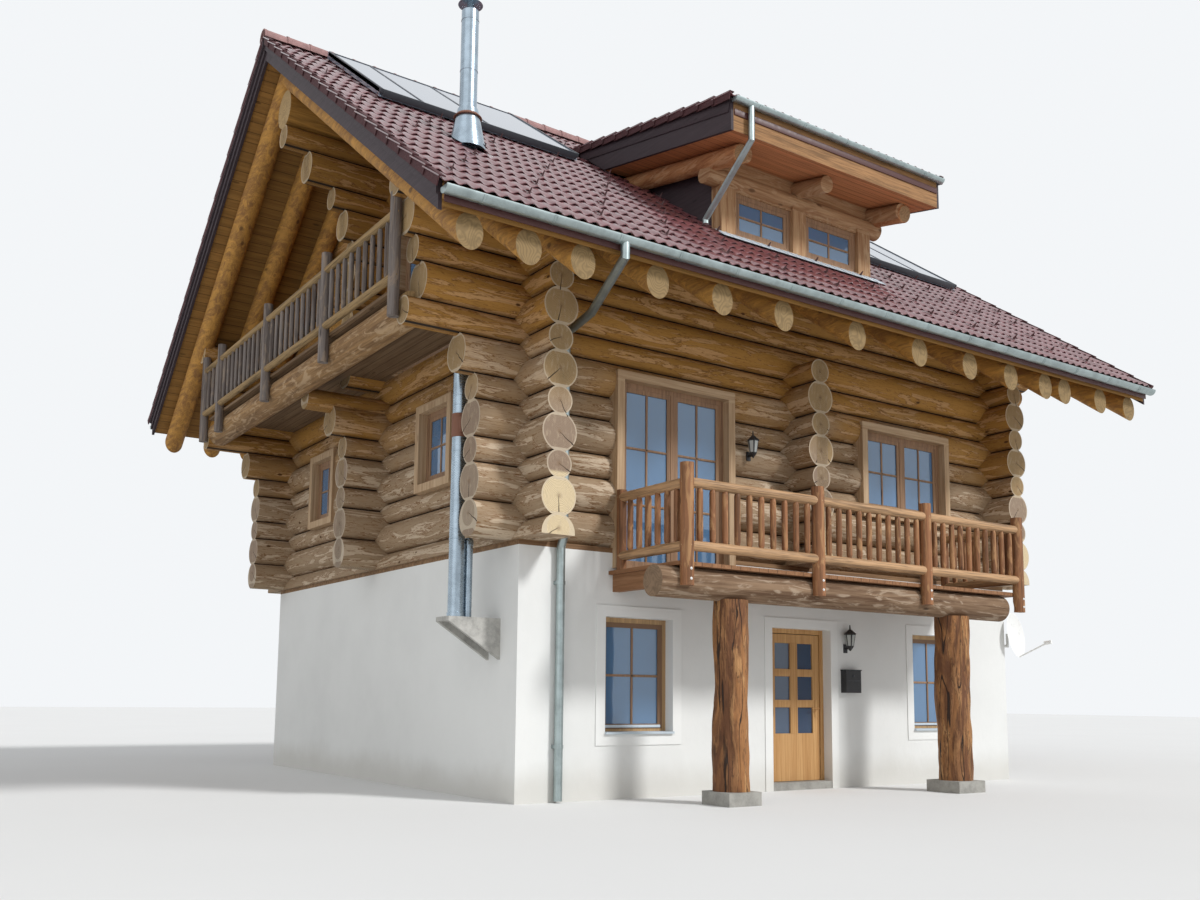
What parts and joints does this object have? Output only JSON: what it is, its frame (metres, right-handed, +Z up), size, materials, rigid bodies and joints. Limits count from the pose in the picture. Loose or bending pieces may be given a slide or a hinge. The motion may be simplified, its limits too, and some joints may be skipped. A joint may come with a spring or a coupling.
{
  "type": "log chalet",
  "caption": "Alpine log chalet on a plastered ground floor, with a front timber balcony, a gable balcony, a tiled roof and a dormer.",
  "frame": {"origin": "centre of the house's footprint at the lowest ground", "axes": "+X along the eaves to the right seen from the front, +Y to the back, +Z up"},
  "size_m": [12.12, 11.76, 10.4584],
  "materials": {
    "balcony_wood": "satin",
    "black_metal": "satin",
    "clear_glass": "polished",
    "collector": "polished",
    "concrete": "rough",
    "dark_boards": "satin",
    "field_stone": "rough",
    "floor_wood": "satin",
    "flue_metal": "brushed",
    "frame_wood": "satin",
    "grey_wood": "rough",
    "light_wood": "satin",
    "log_wood": "satin",
    "plaster": "rough",
    "rafter_wood": "satin",
    "roof_tile": "satin",
    "roof_wood": "satin",
    "white_metal": "satin",
    "zinc": "satin"
  },
  "bodies": {
    "house": {"attic_floor": "floor_wood", "balcony_beam": "grey_wood", "balcony_deck": "balcony_wood", "balcony_doors": "frame_wood", "balcony_supports": "balcony_wood", "bargeboards": "dark_boards", "cross_wall_log_ends": "log_wood", "door_threshold": "concrete", "dormer_cheeks": "dark_boards", "dormer_drainage": "zinc", "dormer_frame": "rafter_wood", "dormer_roof": "roof_wood", "dormer_tiles": "roof_tile", "dormer_trimmer": "rafter_wood", "dormer_windows": "frame_wood", "downpipes": "zinc", "eaves_boards": "roof_wood", "entrance_door_frame": "frame_wood", "flue": "flue_metal", "flue_bracket": "grey_wood", "front_balustrade": "balcony_wood", "front_log_wall": "log_wood", "front_rafters": "rafter_wood", "front_roof_deck": "roof_wood", "front_roof_tiles": "roof_tile", "front_wall_head": "plaster", "front_wall_left": "plaster", "front_wall_right": "plaster", "gable_balustrade": "grey_wood", "gable_beam": "grey_wood", "gable_deck": "grey_wood", "ground_slab": "concrete", "ground_windows": "light_wood", "gutters": "zinc", "left_gable_logs": "log_wood", "left_log_wall": "log_wood", "left_wall": "plaster", "log_storey_casings": "frame_wood", "log_storey_windows": "frame_wood", "middle_wall_log_ends": "log_wood", "plaster_surrounds": "plaster", "plinth_stones": "field_stone", "rear_log_wall": "log_wood", "rear_rafters": "rafter_wood", "rear_roof_deck": "roof_wood", "rear_roof_tiles": "roof_tile", "rear_wall": "plaster", "ridge_purlin": "log_wood", "ridge_tiles": "roof_tile", "right_gable_logs": "log_wood", "right_log_wall": "log_wood", "right_wall": "plaster", "satellite_dish": "white_metal", "sill_planks": "log_wood", "solar_collectors": "collector", "storey_floor": "concrete", "wall_fittings": "black_metal", "window_glass": "clear_glass"},
    "entrance_door": {"entrance_door": "frame_wood", "entrance_door_glass": "clear_glass"}
  },
  "joints": [
    {"name": "entrance_door_hinge", "type": "hinge", "parent": "house", "child": "entrance_door", "pos_m": [-0.4535, -3.821, 0.106], "axis": [0, 0, 1], "range_deg": [0, 90]}
  ]
}
